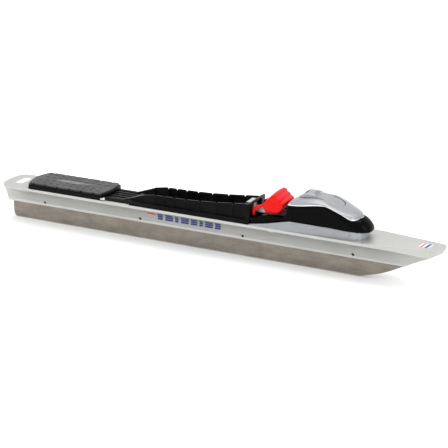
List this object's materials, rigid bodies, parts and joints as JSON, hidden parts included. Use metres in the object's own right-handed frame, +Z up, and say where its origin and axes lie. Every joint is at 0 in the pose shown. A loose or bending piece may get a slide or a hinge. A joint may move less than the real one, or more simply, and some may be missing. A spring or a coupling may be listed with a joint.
{
  "type": "nordic ice skate",
  "caption": "Long touring ice skate: steel runner in an aluminium profile, with a cross-country style toe-bar binding, rubber bumper and sliding heel plate.",
  "frame": {"origin": "middle of the skate's length and width, on the running edge of the blade", "axes": "+X along the skate towards the toe, +Z up from the blade to the binding, +Y to the left"},
  "size_m": [0.5, 0.045, 0.0805],
  "materials": {
    "anodised_aluminium": "satin anodised, drawn along its length",
    "runner_steel": "ground",
    "pin_steel": "dark",
    "clip_steel": "zinc plated",
    "spring_steel": "bright",
    "screw_steel": "zinc plated",
    "black_plastic": "fine moulded grain",
    "gloss_black": "glossy",
    "grey_plastic": "satin",
    "silver_plastic": "metallic silver paint",
    "tread_rubber": "ribbed",
    "red_rubber": "smooth",
    "label": "printed film"
  },
  "bodies": {
    "skate": {"aluminium_profile": "anodised_aluminium", "blade": "runner_steel", "blade_pins": "pin_steel", "ridge_rail": "black_plastic", "heel_track": "black_plastic", "wedge_base": "grey_plastic", "front_housing": "gloss_black", "top_cover": "silver_plastic", "button_pin": "pin_steel", "toe_bar_seat": "clip_steel", "latch_spring": "spring_steel", "button_spring": "spring_steel", "seat_rivets": "pin_steel", "platform_screws": "screw_steel", "ridge_screws": "screw_steel", "track_screws": "screw_steel", "front_screw": "screw_steel", "heel_sticker": "label", "toe_sticker": "label"},
    "button": {"release_button": "silver_plastic"},
    "jaw": {"latch_jaw": "clip_steel"},
    "bumper": {"flexor": "red_rubber", "flexor_hooks": "red_rubber"},
    "heel_slider": {"heel_plate": "black_plastic", "heel_tread": "tread_rubber", "heel_lock_pin": "pin_steel"},
    "heel_clip": {"heel_lock": "clip_steel"}
  },
  "joints": [
    {"name": "button_press", "type": "hinge", "parent": "skate", "child": "button", "pos_m": [0.144, 0, 0.0653], "axis": [0, -1, 0], "range_deg": [0, 7], "stiffness_Nm_per_rad": 3, "springref_deg": -8.59, "deforming": ["button_spring"]},
    {"name": "jaw_slide", "type": "slide", "parent": "skate", "child": "jaw", "axis": [1, 0, 0], "range_m": [0, 0.0053], "deforming": ["latch_spring"]},
    {"name": "bumper_squeeze", "type": "hinge", "parent": "skate", "child": "bumper", "pos_m": [0.075, 0, 0.055], "axis": [0, 1, 0], "range_deg": [0, 8], "stiffness_Nm_per_rad": 12},
    {"name": "heel_slide", "type": "slide", "parent": "skate", "child": "heel_slider", "axis": [1, 0, 0], "range_m": [0, 0.022]},
    {"name": "heel_clip_lift", "type": "hinge", "parent": "heel_slider", "child": "heel_clip", "pos_m": [-0.125, -0.021, 0.04415], "axis": [0, -1, 0], "range_deg": [0, 10], "stiffness_Nm_per_rad": 0.05, "springref_deg": -5.73}
  ],
  "couplings": [
    {"joint": "jaw_slide", "follows": "button_press", "m_per_rad": 0.043377}
  ]
}
